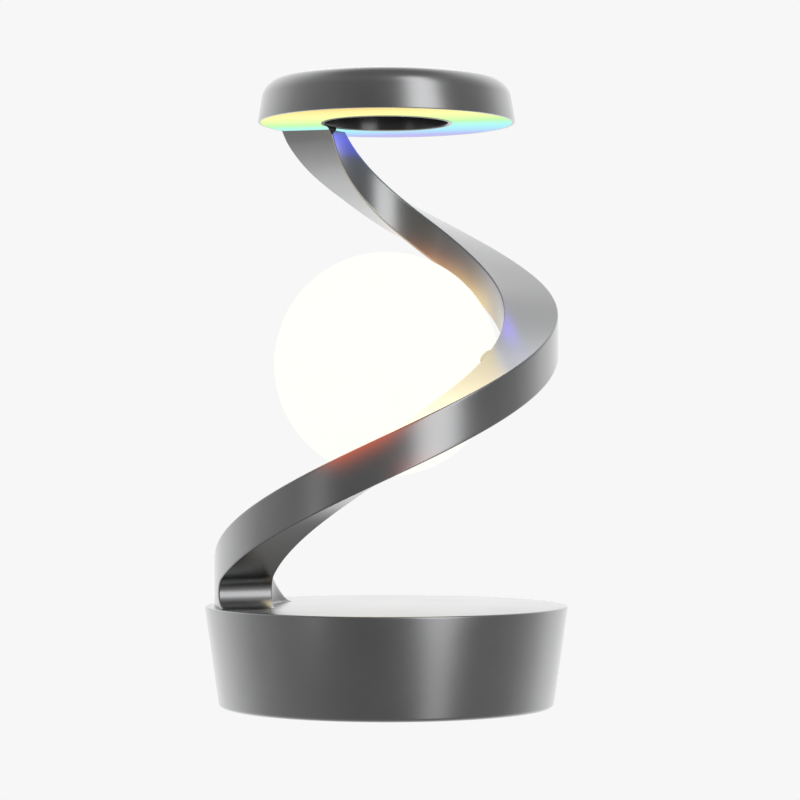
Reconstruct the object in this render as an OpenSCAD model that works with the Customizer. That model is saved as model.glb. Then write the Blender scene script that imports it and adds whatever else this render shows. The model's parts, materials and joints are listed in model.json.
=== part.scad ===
// Desk lamp with a globe that seems to float: a weighted base, a ribbon arm that winds
// once round the globe, and a ring head that is lit from inside.
// The origin is on the floor under the base's centre, +Z is up and -Y is the front.

/* [Globe] */
// Outside diameter of the glowing globe
globe_d = 74.4; // [68:0.2:90]
// Wall of the globe
globe_wall = 2; // [1.5:0.1:4]
// Clear height from the deck to the globe, and again from the globe to the ring
globe_space = 42.8; // [36:0.2:60]
// Gap between the globe and the arm's inner wall
globe_gap = 1.7; // [1.5:0.1:3]
// Diameter of the opening that the hub closes
hub_d = 24; // [20:0.5:30]
// Length of the lamp post inside the globe
post_l = 43; // [30:1:50]

/* [Arm] */
// Radial width of the arm
arm_w = 17.9; // [16:0.1:22]
// Height of the arm
arm_h = 13.6; // [13.2:0.1:18]
// Angle round the base at which the arm's underside leaves the deck
arm_start = 177; // [160:1:190]
// Angle that the underside turns through from the deck to the ring
arm_turn = 326; // [310:1:335]
// Extra rise over the last part of the turn
end_rise = 9.5; // [4:0.5:16]
// Angle of turn at which the extra rise starts
rise_from = 203; // [190:1:260]
// Angle of turn at which the arm starts to bend in under the ring
bend_from = 245; // [220:1:280]
// Power of the curve by which the arm bends in
bend_power = 1.3; // [1.3:0.1:2.5]
// Angle between the arm's end and the radius that it lies on
end_skew = 22; // [0:1:26]
// Power of the curve by which the arm turns from its radius
skew_power = 3; // [1:0.5:4]
// Outer wall of the arm, behind the wire groove
arm_wall = 3.5; // [2.5:0.1:5]
// Height of the lips over and under the wire groove
arm_lip = 2; // [1.5:0.1:2.2]
// Thickness of the cover that closes the groove
cover_t = 2.2; // [1.8:0.1:3]
// Depth of the groove at the deck
foot_groove = 4.5; // [4:0.1:6]
// Depth of the groove at the ring
head_groove = 2.8; // [2.7:0.1:3.2]
// Radius between the arm's underside and the deck
foot_fillet = 5.6; // [3:0.1:8]
// Radius between the arm's inner wall and the deck
side_fillet = 0.8; // [0.5:0.1:4]
// Radius between the arm's upper face and the deck
tail_fillet = 20; // [5:1:30]
// Diameter of the wires in the arm
wire_d = 2.2; // [1.6:0.1:2.3]

/* [Pivot] */
// Diameter of the globe's shaft
shaft_d = 4; // [3:0.1:4.4]
// Outside diameter of the bush
bush_d = 6; // [5.6:0.1:6.6]

/* [Ring] */
// Diameter of the ring's hole
ring_hole_d = 41.4; // [34:0.2:50]
// Width of the ring beyond the arm's width
land_margin = 4.1; // [3:0.1:8]
// Height of the ring
ring_h = 14.2; // [13.4:0.1:20]
// Rounding of the ring's upper edge
ring_round = 7; // [5:0.5:8]
// Slope of the ring's outer wall
ring_slope = 9; // [0:0.5:14]
// Wall of the ring's housing
ring_wall = 2; // [1.6:0.1:2.6]
// Thickness of the diffuser
diffuser_t = 2.2; // [1.6:0.1:3]
// Width of the rim that shows round the diffuser
ring_rim = 1; // [0.8:0.1:1.4]

/* [Base] */
// Height of the deck over the floor
base_h = 33; // [31:0.5:45]
// Width of the deck outside the arm's foot
rim_inset = 3.2; // [2:0.1:12]
// Amount by which the base narrows from the deck to the floor
base_taper = 4.8; // [0:0.1:8]
// Rounding of the base's lower edge
base_round = 1.5; // [1:0.1:4]
// Rounding of the deck's edge
rim_round = 1; // [0.5:0.1:2]
// Side wall of the base
base_wall = 3; // [2:0.1:4]
// Thickness of the deck
deck_t = 4; // [3:0.1:5]
// Thickness of the bottom cover
floor_t = 3; // [2.6:0.1:4]
// Height of the rubber foot under the bottom cover
foot_h = 1.4; // [1:0.1:3]
// Thickness of the ballast plate
ballast_t = 8; // [5:0.5:10]
// Diameter of the buttons
button_d = 7; // [5:0.5:9]
// Travel of the buttons
button_travel = 0.8; // [0.4:0.1:1]

/* [Hidden] */
$fn = 96;

// Clearances
screw_clear = 0.05;
seat_clear = 0.05;
cover_clear = 0.08;
run_clear = 0.05;
body_gap = 0.35;
pass_clear = 0.2;
part_clear = 0.3;
cut = 0.1;

// Colours
GRAPHITE = "#55575b";
STEEL = "#b9bcc0";
BRASS = "#c9a24a";
BOARD_GREEN = "#1f5b3a";
BLACK_PLASTIC = "#222326";
RUBBER = "#2b2b2b";
OPAL = "#fffdf4";
LED_WHITE = "#f6f0c8";
COPPER = "#b4703c";

// Main levels and radii
globe_r = globe_d/2;
globe_z = base_h + globe_space + globe_r;
ring_z = globe_z + globe_r + globe_space;
arm_mid_r = globe_r + globe_gap + arm_w/2;
base_r = arm_mid_r + arm_w/2 + rim_inset;
hole_r = ring_hole_d/2;
ring_r = hole_r + arm_w + land_margin;
land_gap = 0.2;
end_r =
    sqrt(pow(ring_r - land_gap, 2) - pow(arm_w/2*sin(end_skew), 2)) - arm_w/2*cos(end_skew);

// Path of the arm: a is the angle round the axis, t the angle turned since the deck
arm_rise = ring_z - base_h;
steady_rise = arm_rise - end_rise;
degree_l = arm_mid_r*PI/180;
lead = atan(steady_rise/arm_turn/degree_l);
function share(t, from) = max(0, t - from)/(arm_turn - from);
function bend_share(a) = share(a - arm_start, bend_from);
function arm_r(a) = arm_mid_r - (arm_mid_r - end_r)*pow(bend_share(a), bend_power);
function arm_z(a) =
    base_h + steady_rise*(a - arm_start)/arm_turn + end_rise*pow(share(a - arm_start, rise_from), 2);
function arm_point(a, z, out) =
    let (b = a + end_skew*pow(bend_share(a), skew_power))
    [arm_r(a)*cos(a) + out*cos(b), arm_r(a)*sin(a) + out*sin(b), z];

// Turn at which the arm's upper face reaches the ring
rise_b = steady_rise/arm_turn*(arm_turn - rise_from);
rise_c = steady_rise/arm_turn*rise_from - arm_rise + arm_h;
top_share = -2*rise_c/(rise_b + sqrt(rise_b*rise_b - 4*end_rise*rise_c));
top_turn = rise_from + top_share*(arm_turn - rise_from);

// Foot of the arm, as lengths along the deck from the angle arm_start
toe_x = foot_fillet/tan(lead/2);
lift_x = toe_x - foot_fillet*sin(lead);
ramp_x = -arm_h/tan(lead);
tail_x = ramp_x - tail_fillet*tan(lead/2);
tail_end_x = tail_x + tail_fillet*sin(lead);
function ramp_h(x) =
    x < tail_end_x
        ? tail_fillet - sqrt(tail_fillet*tail_fillet - pow(x - tail_x, 2))
        : tan(lead)*(x - ramp_x);
function flare(z) =
    let (h = z - base_h)
    h >= side_fillet ? 0 : side_fillet - sqrt(side_fillet*side_fillet - pow(side_fillet - h, 2));

// Stations along the arm, each [lower angle, lower height, upper angle, upper height, groove depth]
deep_groove = arm_w - arm_wall - cover_t;
foot_steps = 14;
head_steps = 20;
head_blend = 14;
arm_step = 3;
lift_turn = lift_x/degree_l;
head_turn = top_turn - head_blend;
run_steps = ceil((head_turn - lift_turn)/arm_step);
function ease(v) = v*v*(3 - 2*v);
function foot_station(v) =
    let (f = v*(180 - lead), x = tail_x + v*(lift_x - tail_x))
    [
        arm_start + (toe_x - foot_fillet*sin(f))/degree_l,
        base_h + foot_fillet*(1 - cos(f)),
        arm_start + x/degree_l,
        base_h + ramp_h(x),
        foot_groove + (deep_groove - foot_groove)*ease(v)
    ];
function run_station(v) =
    let (a = arm_start + lift_turn + v*(head_turn - lift_turn))
    [a, arm_z(a), a, arm_z(a) + arm_h, deep_groove];
function head_station(v) =
    let (low = arm_start + head_turn + v*(arm_turn - head_turn), high = arm_start + head_turn + v*head_blend)
    [low, arm_z(low), high, arm_z(high) + arm_h, deep_groove + (head_groove - deep_groove)*ease(v)];
stations = concat(
    [for (i = [0:foot_steps - 1]) foot_station(i/foot_steps)],
    [for (i = [0:run_steps - 1]) run_station(i/run_steps)],
    [for (i = [0:head_steps]) head_station(i/head_steps)]
);

// Section of the arm, as offsets from its middle radius and shares of its height
outer_off = arm_w/2;
seat_off = -arm_w/2 + cover_t;
lip_f = arm_lip/arm_h;
wall_cells = 4;
function back_off(s) = seat_off + s[4];
function row_point(s, f, out) =
    let (z = s[1] + (s[3] - s[1])*f)
    arm_point(s[0] + (s[2] - s[0])*f, z, out);
function inner_point(s, f) =
    let (z = s[1] + (s[3] - s[1])*f)
    arm_point(s[0] + (s[2] - s[0])*f, z, -arm_w/2 - flare(z));
function groove_rows(edge) = [for (k = [0:wall_cells]) edge + (1 - 2*edge)*k/wall_cells];

// Pivot of the globe, as distances from the globe's centre along the shaft
pivot_a = arm_start + (globe_z - arm_h/2 - base_h)*arm_turn/steady_rise;
wall_in = globe_r + globe_gap;
boss_end = globe_r + globe_gap/2 - body_gap/2;
bush_start = boss_end + body_gap;
flange_start = wall_in + cover_t + seat_clear;
flange_t = 1;
pivot_lead = atan(steady_rise/arm_turn/(flange_start*PI/180));
flange_d = (arm_h - 2*arm_lip)*cos(pivot_lead) - 2*part_clear;
clip_t = 0.6;
clip_start = flange_start + flange_t + body_gap;
shaft_tip = clip_start + clip_t + 2.1;
clip_root_d = shaft_d - 0.8;
cap_wall = 0.5;
clip_d = flange_d - 2*cap_wall - 2*body_gap;
cap_end = shaft_tip + body_gap;
cap_base_t = 0.9;
lead_pin_d = 1.2;
gasket_t = 1.2;
hub_plug_d = hub_d - 2*gasket_t - 2*seat_clear;
hub_back = sqrt(pow(globe_r - globe_wall, 2) - pow(hub_d/2, 2)) - 1.6;
boss_d = 7;
shaft_root = hub_back - 4;
post_d = 12;
post_bore_d = shaft_d + 2;
post_sides = 6;

// Wires
function wire_off(s) = back_off(s) - wire_d/2 - part_clear;
wire_sides = 6;
lead_lift = 1;

// Base levels
shell_edge = 1;
shell_z = foot_h - shell_edge;
floor_top = foot_h + floor_t;
ballast_top = floor_top + ballast_t;
board_space = 4.6;
board_t = 1.6;
board_z = ballast_top + board_space;
board_top = board_z + board_t;
deck_under = base_h - deck_t;
lead_z = board_top + lead_lift + wire_d/2;
function shell_r(z) = base_r - (base_h - z)*base_taper/base_h;
function cavity_r(z) = shell_r(z) - base_wall;
taper_a = atan(base_taper/base_h);
floor_r = cavity_r(foot_h) - part_clear;

// Rubber foot
foot_width = 7;
foot_out_r = floor_r - 3;
foot_seat = 0.8;

// Cover screws and their posts
post_r = 4;
post_inset = 16.5;
post_ring_r = cavity_r(ballast_top) - post_inset;
post_angles = [45, 135, 225, 315];
cover_screw_d = 3;
cover_head_d = 5.6;
cover_head_h = 1.6;
cover_head_z = foot_h + 0.2;
cover_screw_grip = 8;
ballast_r = floor_r - 6;

// Board, battery and what they carry
board_w = 42;
board_l = 45;
board_edge_r = cavity_r(board_z) - 1.5;
board_front_y = board_edge_r - board_l;
board_hole_x = 17;
board_hole_edge = 5;
board_hole_step = 19;
board_hole_y = [board_front_y + board_hole_edge, board_front_y + board_hole_edge + board_hole_step];
board_screw_d = 2.5;
board_post_d = 5.6;
board_head_d = 4.5;
board_head_h = 1.7;
board_screw_grip = 5;
plug_w = 6;
plug_h = 5;
plug_y = 9;
battery_w = 40;
battery_l = 44;
battery_t = 9;
battery_round = 4;
pad_t = 1;
pad_edge = 3;
battery_front_y = -sqrt(pow(cavity_r(ballast_top) - 2, 2) - pow(battery_w/2, 2));

// Inlet socket, to the USB-C size
usb_w = 8.94;
usb_h = 3.26;
usb_l = 7.35;
usb_wall = 0.3;
usb_tongue_w = 6.7;
usb_tongue_h = 0.7;
usb_recess = 1;
usb_z = board_top + usb_h/2;
usb_mouth_y = shell_r(usb_z) - usb_recess;

// Buttons and switches, as distances from the base's axis
switch_h = 4.5;
switch_w = 6;
switch_l = 4.4;
plunger_d = 2;
button_z = board_top + switch_h/2;
button_angles = [75, 105];
sleeve_d = button_d + 3.5;
sleeve_end = cavity_r(button_z) - 3.3;
button_flange_d = button_d + 2;
button_flange_t = 1.1;
button_flange_r = sleeve_end - body_gap;
stem_d = 3;
stem_l = 1.2;
stem_r = button_flange_r - button_flange_t - stem_l;
button_out = 0.8;
switch_face = stem_r - button_travel - body_gap;
plunger_in = 1.6;
plunger_end = switch_face - plunger_in;

// Arm screws
arm_screw_d = 4;
arm_screw_off = 3.3;
arm_screw_grip = 7;
arm_head_d = 7.6;
arm_head_h = 2.4;
arm_screw_x = [-6, 9];
arm_screw_angles = [for (x = arm_screw_x) arm_start + x/degree_l];

// Ring levels and radii
roof_z = ring_h - ring_wall;
bolt_room = 3;
frame_t = 2;
frame_top = roof_z - bolt_room;
frame_z = frame_top - frame_t;
led_board_t = 1.6;
led_t = 1.6;
led_w = 5;
round_z = ring_h - ring_round;
round_r = ring_r - (ring_round + round_z*sin(ring_slope))/cos(ring_slope);
function ring_cavity_r(z) = ring_r - z*tan(ring_slope) - ring_wall/cos(ring_slope);
hole_round = 1.5;
cavity_in_r = hole_r + ring_wall;
cavity_round = ring_round - ring_wall;
frame_in_r = cavity_in_r + part_clear;
frame_out_r = round_r + sqrt(pow(cavity_round, 2) - pow(max(0, frame_top - round_z), 2)) - part_clear;
led_board_in_r = frame_in_r + 1;
led_board_out_r = frame_out_r - 1;
led_r = led_board_out_r - led_w/2 - 1.6;
led_count = 22;
ring_screw_d = 2.5;
ring_head_d = 4.5;
ring_head_h = 1.6;
ring_screw_r = led_board_in_r + ring_head_d/2 + 0.6;
ring_screw_grip = 4;
ring_post_d = 5.6;

// Landing of the arm under the ring, as angles, and outlines of it that are grown by a margin
land_from = arm_start + top_turn - 9;
land_to = arm_start + arm_turn + 8;
land_edge = 1.5;
pad_inset = 0.6;
landing = stations[len(stations) - 1];
landing_l = arm_r(landing[0])*PI/180*(landing[0] - landing[2]);
landing_rows = 8;
function landing_side(grow, out) = [
    for (k = [0:landing_rows])
        let (p = row_point(landing, -grow/landing_l + (1 + 2*grow/landing_l)*k/landing_rows, out))
        [p[0], p[1]]
];
function landing_outline(grow) =
    let (near = landing_side(grow, -arm_w/2 - grow))
    concat(landing_side(grow, arm_w/2 + grow), [for (k = [landing_rows:-1:0]) near[k]]);
ring_screw_angles = [for (k = [1:3]) land_to + (360 - (land_to - land_from))*(k - 0.5)/3];
bolt_d = 3;
bolt_head_d = 5;
bolt_head_h = 2;
bolt_grip = 6;
bolt_seat = 5;
bolt_pocket_d = 7;
bolt_off = seat_off + head_groove + 2.3;
bolt_a = arm_start + arm_turn - 13;
dowel_d = 2.5;
dowel_in = 1.6;
dowel_a = bolt_a + 8;

// Points of an arc about a centre
function arc(x, y, r, from, to, steps = 10) =
    [for (k = [0:steps]) let (a = from + (to - from)*k/steps) [x + r*cos(a), y + r*sin(a)]];

// Centre of a rounding that touches the base's tapered wall, at height z
function wall_centre(z, r) = shell_r(z - r*sin(taper_a)) - r*cos(taper_a);

// Solid through loops of points, with end faces given as lists of places in a loop
module skin(loops, ends) {
    n = len(loops[0]);
    last = (len(loops) - 1)*n;
    sides = [
        for (i = [0:len(loops) - 2]) for (j = [0:n - 1])
            let (p = i*n + j, q = i*n + (j + 1)%n)
            each [[p, q, q + n], [p, q + n, p + n]]
    ];
    first_end = [for (e = ends) [for (k = [len(e) - 1:-1:0]) e[k]]];
    last_end = [for (e = ends) [for (k = e) k + last]];
    polyhedron([for (l = loops) each l], concat(sides, first_end, last_end), convexity = 8);
}

// Wedge between two angles
module wedge(from, to, r, h) {
    linear_extrude(h) polygon(concat([[0, 0]], arc(0, 0, r, from, to)));
}

// Flat ring
module disc_ring(in_r, out_r, h) {
    difference() {
        cylinder(r = out_r, h = h);
        translate([0, 0, -cut]) cylinder(r = in_r, h = h + 2*cut);
    }
}

// Screw that points up, with the underside of its head at zero
module screw(d, l, head_d, head_h) {
    translate([0, 0, -head_h]) cylinder(d = head_d, h = head_h);
    cylinder(d = d, h = l);
}

// Slot with round ends, along Y
module slot(w, h, l) {
    rotate([-90, 0, 0]) {
        translate([-(w - h)/2, -h/2, 0]) cube([w - h, h, l]);
        for (x = [-(w - h)/2, (w - h)/2]) translate([x, 0, 0]) cylinder(d = h, h = l);
    }
}

// Places
module at_pivot(from) {
    translate([0, 0, globe_z]) rotate([0, 0, pivot_a]) rotate([0, 90, 0]) translate([0, 0, from]) children();
}
module at_button(k, r) {
    rotate([0, 0, button_angles[k]]) translate([r, 0, button_z]) rotate([0, 90, 0]) children();
}
module at_posts(z) {
    for (a = post_angles) rotate([0, 0, a]) translate([post_ring_r, 0, z]) children();
}
module at_board_holes(z) {
    for (x = [-board_hole_x, board_hole_x], y = board_hole_y) translate([x, y, z]) children();
}
module at_arm_screws(z) {
    for (a = arm_screw_angles) translate(arm_point(a, z, arm_screw_off)) children();
}
module at_ring_screws(z) {
    for (a = ring_screw_angles) rotate([0, 0, a]) translate([ring_screw_r, 0, ring_z + z]) children();
}

// Base
module base_shell() {
    low_z = shell_z + base_round;
    high_z = base_h - rim_round;
    color(GRAPHITE) difference() {
        union() {
            rotate_extrude() difference() {
                polygon(concat(
                    [[0, shell_z]],
                    arc(wall_centre(low_z, base_round), low_z, base_round, -90, -taper_a),
                    arc(wall_centre(high_z, rim_round), high_z, rim_round, -taper_a, 90),
                    [[0, base_h]]
                ));
                polygon([
                    [0, shell_z - cut], [cavity_r(shell_z - cut), shell_z - cut],
                    [cavity_r(deck_under), deck_under], [0, deck_under]
                ]);
            }
            at_posts(ballast_top) cylinder(r = post_r, h = deck_under + cut - ballast_top);
            at_board_holes(board_top) cylinder(d = board_post_d, h = deck_under + cut - board_top);
            for (k = [0, 1]) at_button(k, sleeve_end)
                cylinder(d = sleeve_d, h = cavity_r(button_z) + base_wall/2 - sleeve_end);
        }
        at_posts(ballast_top - cut) cylinder(d = cover_screw_d + 2*screw_clear, h = cover_screw_grip + 1);
        at_board_holes(board_top - cut) cylinder(d = board_screw_d + 2*screw_clear, h = board_screw_grip + 1);
        at_arm_screws(deck_under - cut) cylinder(d = arm_screw_d + 2*pass_clear, h = deck_t + 2*cut);
        translate(wire_point(stations[0], deck_under - cut))
            cylinder(d = wire_d + 4*pass_clear, h = deck_t + 2*cut);
        for (k = [0, 1]) at_button(k, sleeve_end - cut)
            cylinder(d = button_d + 2*run_clear, h = base_r - sleeve_end);
        translate([0, cavity_r(usb_z) - base_wall, usb_z])
            slot(usb_w + 2*pass_clear, usb_h + 2*pass_clear, 3*base_wall);
    }
}
module bottom_cover() {
    color(BLACK_PLASTIC) difference() {
        translate([0, 0, foot_h]) cylinder(r = floor_r, h = floor_t);
        translate([0, 0, foot_h - cut])
            disc_ring(foot_out_r - foot_width - seat_clear, foot_out_r + seat_clear, foot_seat + cut);
        at_posts(foot_h - cut)
            cylinder(d = cover_head_d + 2*pass_clear, h = cover_head_z + cover_head_h - foot_h + cut);
        at_posts(foot_h) cylinder(d = cover_screw_d + 2*pass_clear, h = floor_t + cut);
    }
}
module cover_screws() {
    head_under = cover_head_z + cover_head_h;
    color(STEEL) at_posts(head_under)
        screw(cover_screw_d, ballast_top + cover_screw_grip - head_under, cover_head_d, cover_head_h);
}
module foot_ring() {
    color(RUBBER) disc_ring(foot_out_r - foot_width, foot_out_r, foot_h + foot_seat);
}
module ballast_plate() {
    color(STEEL) difference() {
        translate([0, 0, floor_top]) cylinder(r = ballast_r, h = ballast_t);
        at_posts(floor_top - cut) cylinder(d = cover_screw_d + 2*pass_clear, h = ballast_t + 2*cut);
    }
}
module battery_pad() {
    color(BLACK_PLASTIC)
        translate([-battery_w/2 + pad_edge, battery_front_y + pad_edge, ballast_top])
            cube([battery_w - 2*pad_edge, battery_l - 2*pad_edge, pad_t]);
}
module battery_pack() {
    r = battery_round;
    color("#3c6ea0") translate([-battery_w/2, battery_front_y, ballast_top + pad_t]) {
        translate([0, r, 0]) cube([battery_w, battery_l - 2*r, battery_t]);
        translate([r, 0, 0]) cube([battery_w - 2*r, battery_l, battery_t]);
        for (x = [r, battery_w - r], y = [r, battery_l - r])
            translate([x, y, 0]) cylinder(r = r, h = battery_t);
    }
}
module main_board() {
    color(BOARD_GREEN) difference() {
        intersection() {
            translate([-board_w/2, board_front_y, board_z]) cube([board_w, board_l + 1, board_t]);
            cylinder(r = board_edge_r, h = base_h);
        }
        at_board_holes(board_z - cut) cylinder(d = board_screw_d + 2*pass_clear, h = board_t + 2*cut);
        for (k = [0, 1]) at_button(k, switch_face) cylinder(d = sleeve_d + 2*part_clear, h = board_edge_r);
    }
}
module board_parts() {
    chip = 7;
    chip_h = 1;
    chip_y = 18;
    driver_x = 4;
    driver_y = 5;
    coil_d = 10;
    coil_h = 4;
    coil_x = -5;
    coil_y = 8;
    color(BLACK_PLASTIC) translate([0, board_front_y, board_top]) {
        translate([-chip/2, chip_y, 0]) cube([chip, chip, chip_h]);
        translate([driver_x, driver_y, 0]) cube([chip, chip, chip_h]);
        translate([coil_x, coil_y, 0]) cylinder(d = coil_d, h = coil_h);
        translate([-board_w/2, plug_y, 0]) cube([plug_w, plug_w, plug_h]);
    }
}
module board_screws() {
    color(STEEL) at_board_holes(board_z)
        screw(board_screw_d, board_t + board_screw_grip, board_head_d, board_head_h);
}
module usb_inlet() {
    color(STEEL) translate([0, usb_mouth_y - usb_l, usb_z]) {
        difference() {
            slot(usb_w, usb_h, usb_l);
            translate([0, usb_wall, 0]) slot(usb_w - 2*usb_wall, usb_h - 2*usb_wall, usb_l);
        }
        translate([-usb_tongue_w/2, usb_wall/2, -usb_tongue_h/2])
            cube([usb_tongue_w, usb_l - usb_wall/2 - 1, usb_tongue_h]);
    }
}
module tact_switches() {
    color(BLACK_PLASTIC) for (k = [0, 1]) difference() {
        rotate([0, 0, button_angles[k]]) translate([switch_face - switch_l, -switch_w/2, board_top])
            cube([switch_l, switch_w, switch_h]);
        at_button(k, plunger_end - button_travel - body_gap)
            cylinder(d = plunger_d + 2*run_clear, h = plunger_in + 2*button_travel + switch_l);
    }
}

// Lead from the arm's wires to the board's plug
module base_lead() {
    low = wire_point(stations[0], lead_z);
    plug = [-board_w/2, board_front_y + plug_y + plug_w/2, lead_z];
    dx = plug[0] - low[0];
    dy = plug[1] - low[1];
    gap = wire_d/2 + seat_clear;
    color(BLACK_PLASTIC) translate(low) rotate([0, 0, atan2(dy, dx)])
        translate([gap, 0, 0]) rotate([0, 90, 0])
            cylinder(d = wire_d, h = norm([dx, dy]) - gap - wire_d/2*tan(abs(atan2(dy, dx))) - seat_clear);
}
module arm_screws() {
    color(STEEL) at_arm_screws(deck_under)
        screw(arm_screw_d, deck_t + arm_screw_grip, arm_head_d, arm_head_h);
}

// Arm: a channel that opens towards the globe, and the cover that closes it
function channel_loop(s) =
    let (rows = groove_rows(lip_f), n = len(rows))
    concat(
        [row_point(s, 0, outer_off)],
        [for (f = rows) row_point(s, f, outer_off)],
        [row_point(s, 1, outer_off), inner_point(s, 1), inner_point(s, 1 - lip_f)],
        [row_point(s, 1 - lip_f, seat_off)],
        [for (k = [n - 1:-1:0]) row_point(s, rows[k], back_off(s))],
        [row_point(s, lip_f, seat_off), inner_point(s, lip_f), inner_point(s, 0)]
    );
function cover_loop(s) =
    let (rows = groove_rows(lip_f + cover_clear/arm_h), n = len(rows))
    concat(
        [for (f = rows) row_point(s, f, seat_off)],
        [for (k = [n - 1:-1:0]) inner_point(s, rows[k])]
    );
module arm_channel() {
    n = wall_cells + 1;
    back = n + 5;
    low_lip = [0, 1, back + n - 1, back + n, back + n + 1, back + n + 2];
    high_lip = [n, n + 1, n + 2, n + 3, n + 4, back];
    cells = [for (k = [1:n - 1]) [k, k + 1, back + n - 1 - k, back + n - k]];
    color(GRAPHITE) difference() {
        skin([for (s = stations) channel_loop(s)], concat([low_lip, high_lip], cells));
        at_arm_screws(base_h - cut) cylinder(d = arm_screw_d + 2*screw_clear, h = arm_screw_grip + 0.5);
        translate(arm_point(bolt_a, ring_z - bolt_grip - 0.5, bolt_off))
            cylinder(d = bolt_d + 2*screw_clear, h = bolt_grip + 1);
        translate(arm_point(dowel_a, ring_z - dowel_in - seat_clear, bolt_off))
            cylinder(d = dowel_d + 2*seat_clear, h = dowel_in + 1);
    }
}
module arm_cover() {
    n = wall_cells + 1;
    cells = [for (k = [0:n - 2]) [k, k + 1, 2*n - 2 - k, 2*n - 1 - k]];
    color(GRAPHITE) difference() {
        skin([for (s = stations) cover_loop(s)], cells);
        at_pivot(wall_in - 1) cylinder(d = bush_d + 2*seat_clear, h = cover_t + 2);
    }
}

// Wires along the groove, through the deck and up into the ring
function wire_point(s, z) =
    let (p = row_point(s, 0.5, wire_off(s)))
    [p[0], p[1], z];
function wire_loop(s) =
    let (
        m = row_point(s, 0.5, wire_off(s)),
        e = row_point(s, 0.5, wire_off(s) + 1) - m,
        u = row_point(s, 0.51, wire_off(s)) - row_point(s, 0.49, wire_off(s)),
        w = u/norm(u)
    )
    [for (k = [0:wire_sides - 1]) let (a = 360*k/wire_sides) m + wire_d/2*(cos(a)*e + sin(a)*w)];
module arm_harness() {
    loops = [for (s = stations) wire_loop(s)];
    below = [for (p = loops[0]) [p[0], p[1], lead_z - wire_d/2]];
    above = [for (p = loops[len(loops) - 1]) [p[0], p[1], ring_z + frame_top]];
    color(COPPER) skin(concat([below], loops, [above]), [[for (k = [0:wire_sides - 1]) k]]);
}

// Pivot in the arm
module pivot_bush() {
    color(BRASS) difference() {
        union() {
            at_pivot(bush_start) cylinder(d = bush_d, h = flange_start + flange_t - bush_start);
            at_pivot(flange_start) cylinder(d = flange_d, h = flange_t);
        }
        at_pivot(bush_start - cut)
            cylinder(d = shaft_d + 2*run_clear, h = flange_start + flange_t + 2*cut - bush_start);
    }
}
module contact_cap() {
    start = flange_start + flange_t;
    wires = arm_mid_r + wire_off([0, 0, 0, 0, deep_groove]) - wire_d/2;
    color(BLACK_PLASTIC) {
        difference() {
            at_pivot(start) cylinder(d = flange_d, h = cap_end + cap_base_t - start);
            at_pivot(start - cut) cylinder(d = flange_d - 2*cap_wall, h = cap_end - start + cut);
        }
        at_pivot(cap_end + cap_base_t/2)
            cylinder(d = lead_pin_d, h = wires - cap_end - cap_base_t/2 - 2*seat_clear);
    }
}

// Ring
module ring_housing() {
    rim_r = ring_r - ring_rim;
    rim_in_r = hole_r + ring_rim;
    color(GRAPHITE) difference() {
        union() {
            translate([0, 0, ring_z]) rotate_extrude() difference() {
                polygon(concat(
                    [[hole_r, 0], [ring_r, 0]],
                    arc(round_r, round_z, ring_round, ring_slope, 90),
                    arc(hole_r + hole_round, ring_h - hole_round, hole_round, 90, 180, 6)
                ));
                polygon(concat(
                    [[cavity_in_r, diffuser_t - cut], [ring_cavity_r(diffuser_t), diffuser_t - cut]],
                    arc(round_r, round_z, cavity_round, ring_slope, 90),
                    [[cavity_in_r, roof_z]]
                ));
                translate([rim_in_r, -cut]) square([rim_r - rim_in_r, diffuser_t + cut]);
            }
            at_ring_screws(frame_top) cylinder(d = ring_post_d, h = roof_z - frame_top + cut);
        }
        at_ring_screws(frame_top - cut) cylinder(d = ring_screw_d + 2*screw_clear, h = ring_screw_grip + cut);
    }
}
module ring_frame() {
    color(STEEL) difference() {
        translate([0, 0, ring_z]) {
            translate([0, 0, frame_z]) disc_ring(frame_in_r, frame_out_r, frame_t);
            intersection() {
                disc_ring(frame_in_r, frame_out_r, frame_top);
                linear_extrude(frame_top) polygon(landing_outline(-pad_inset));
            }
        }
        at_ring_screws(frame_z - cut) cylinder(d = ring_screw_d + 2*pass_clear, h = frame_t + 2*cut);
        translate(arm_point(bolt_a, ring_z - cut, bolt_off))
            cylinder(d = bolt_d + 2*pass_clear, h = frame_top + 2*cut);
        translate(arm_point(bolt_a, ring_z + bolt_seat, bolt_off))
            cylinder(d = bolt_pocket_d, h = frame_top);
        translate(arm_point(dowel_a, ring_z - cut, bolt_off))
            cylinder(d = dowel_d + 2*seat_clear, h = frame_t + dowel_in);
        translate(wire_point(stations[len(stations) - 1], ring_z - cut))
            cylinder(d = wire_d + 4*pass_clear, h = frame_top + 2*cut);
    }
}

module ring_led_board() {
    color(BOARD_GREEN) difference() {
        translate([0, 0, ring_z + frame_z - led_board_t]) difference() {
            disc_ring(led_board_in_r, led_board_out_r, led_board_t);
            translate([0, 0, -cut])
                wedge(land_from - land_edge, land_to + land_edge, 2*ring_r, led_board_t + 2*cut);
        }
        at_ring_screws(frame_z - led_board_t - cut)
            cylinder(d = ring_head_d + 2*pass_clear, h = led_board_t + 2*cut);
    }
}
module ring_leds() {
    free = 360 - (land_to - land_from);
    color(LED_WHITE) for (k = [0:led_count - 1])
        rotate([0, 0, land_to + free*(k + 0.5)/led_count])
            translate([led_r - led_w/2, -led_w/2, ring_z + frame_z - led_board_t - led_t])
                cube([led_w, led_w, led_t]);
}
module ring_diffuser() {
    color(OPAL) translate([0, 0, ring_z]) difference() {
        disc_ring(hole_r + ring_rim + seat_clear, ring_r - ring_rim - seat_clear, diffuser_t);
        translate([0, 0, -cut]) linear_extrude(diffuser_t + 2*cut) polygon(landing_outline(seat_clear));
    }
}
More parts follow.
